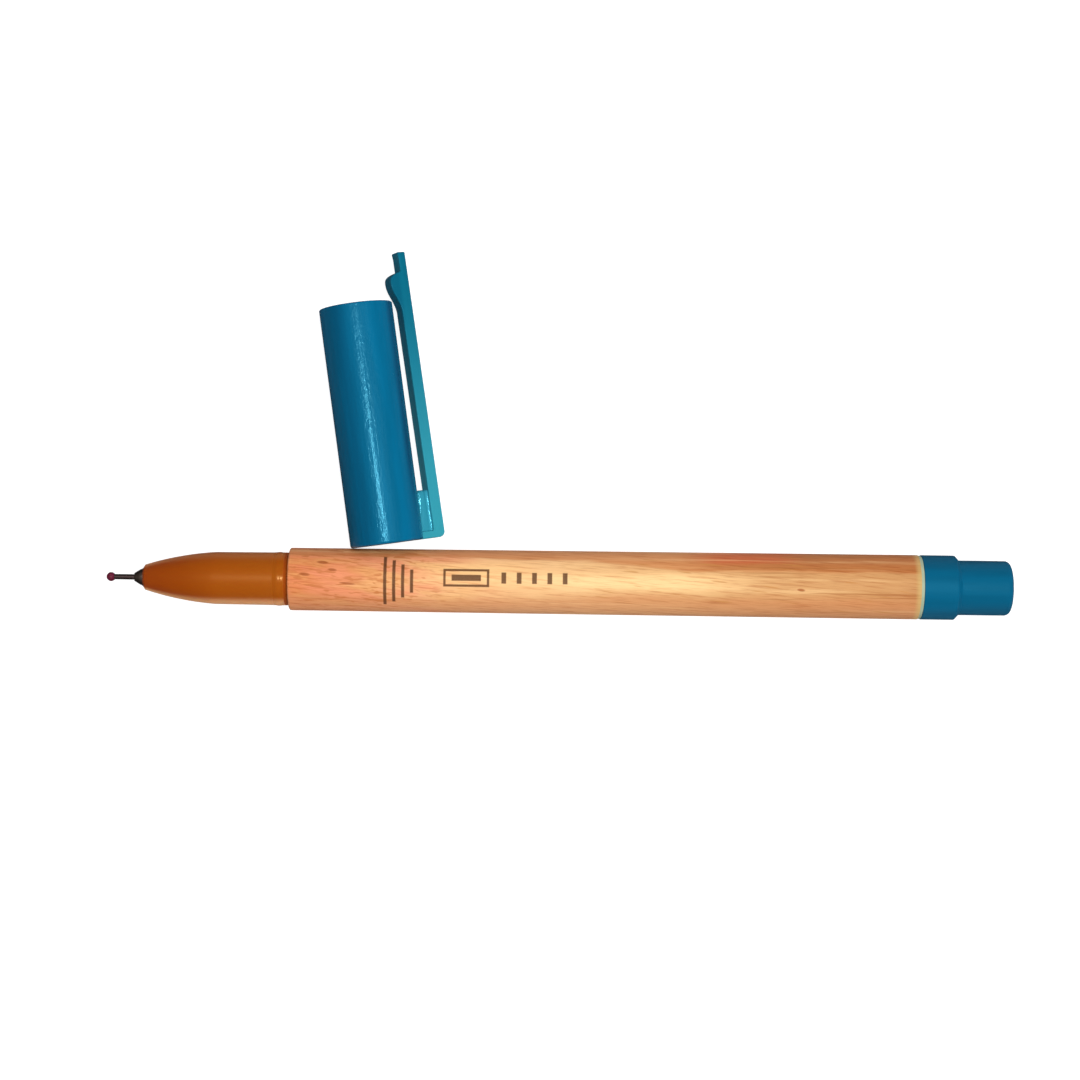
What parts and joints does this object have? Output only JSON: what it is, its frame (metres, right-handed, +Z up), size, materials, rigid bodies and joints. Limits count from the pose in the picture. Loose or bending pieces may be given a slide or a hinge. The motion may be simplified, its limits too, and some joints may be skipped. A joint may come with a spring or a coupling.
{
  "type": "capped ballpoint pen",
  "caption": "Capped needle-point ballpoint pen with a wood-look barrel, amber grip, sealing bead on the tip, and a blue clip cap lying beside it.",
  "frame": {"origin": "under the middle of the pen and its cap, on the table they lie on", "axes": "+X along the pen from its writing point to its rear post; +Z up; the cap lies on the +Y side"},
  "size_m": [0.1432, 0.0576, 0.0116],
  "materials": {
    "barrel_plastic": "moulded, glossy",
    "wood_grain_film": "printed wood-grain film, satin",
    "blue_plastic": "moulded, glossy",
    "amber_plastic": "moulded, glossy, slightly translucent",
    "steel": "drawn steel",
    "dark_metal": "dark plated, bright",
    "ball_metal": "polished",
    "bead_wax": "waxy, slightly glossy",
    "natural_plastic": "natural, translucent",
    "ink": "liquid ink",
    "grease": "clear grease",
    "liner_plastic": "soft natural plastic"
  },
  "bodies": {
    "barrel": {"barrel_tube": "barrel_plastic", "wood_grain_wrap": "wood_grain_film", "end_plug": "blue_plastic"},
    "front_section": {"grip_section": "amber_plastic"},
    "refill": {"needle_tube": "steel", "tip_collar": "dark_metal", "tip_holder": "natural_plastic", "refill_tube": "natural_plastic", "ink_column": "ink"},
    "ball": {"writing_ball": "ball_metal"},
    "bead": {"sealing_bead": "bead_wax"},
    "follower": {"ink_follower": "grease"},
    "cap": {"cap_shell": "blue_plastic", "inner_cap": "liner_plastic"},
    "clip": {"clip_arm": "blue_plastic"}
  },
  "joints": [
    {"name": "front_section_pull", "type": "slide", "parent": "barrel", "child": "front_section", "axis": [-1, 0, 0], "range_m": [0, 0.084]},
    {"name": "refill_slide", "type": "slide", "parent": "front_section", "child": "refill", "axis": [1, 0, 0], "range_m": [0, 0.03]},
    {"name": "ball_roll", "type": "hinge", "parent": "refill", "child": "ball", "pos_m": [-0.0708, -0.02372, 0.0051], "axis": [0, 1, 0], "continuous": true},
    {"name": "bead_pull", "type": "slide", "parent": "refill", "child": "bead", "axis": [-1, 0, 0], "range_m": [0, 0.006]},
    {"name": "follower_slide", "type": "slide", "parent": "refill", "child": "follower", "axis": [-1, 0, 0], "range_m": [0, 0.067], "deforming": ["ink_column"]},
    {"name": "cap_pull", "type": "slide", "parent": "barrel", "child": "cap", "axis": [-0.1452, 0.9894, 0], "range_m": [0, 0.038]},
    {"name": "clip_flex", "type": "hinge", "parent": "cap", "child": "clip", "pos_m": [-0.01979, -0.00897, 0.00105], "axis": [-0.4794, -0.0704, -0.8748], "range_deg": [0, 4], "stiffness_Nm_per_rad": 2}
  ]
}
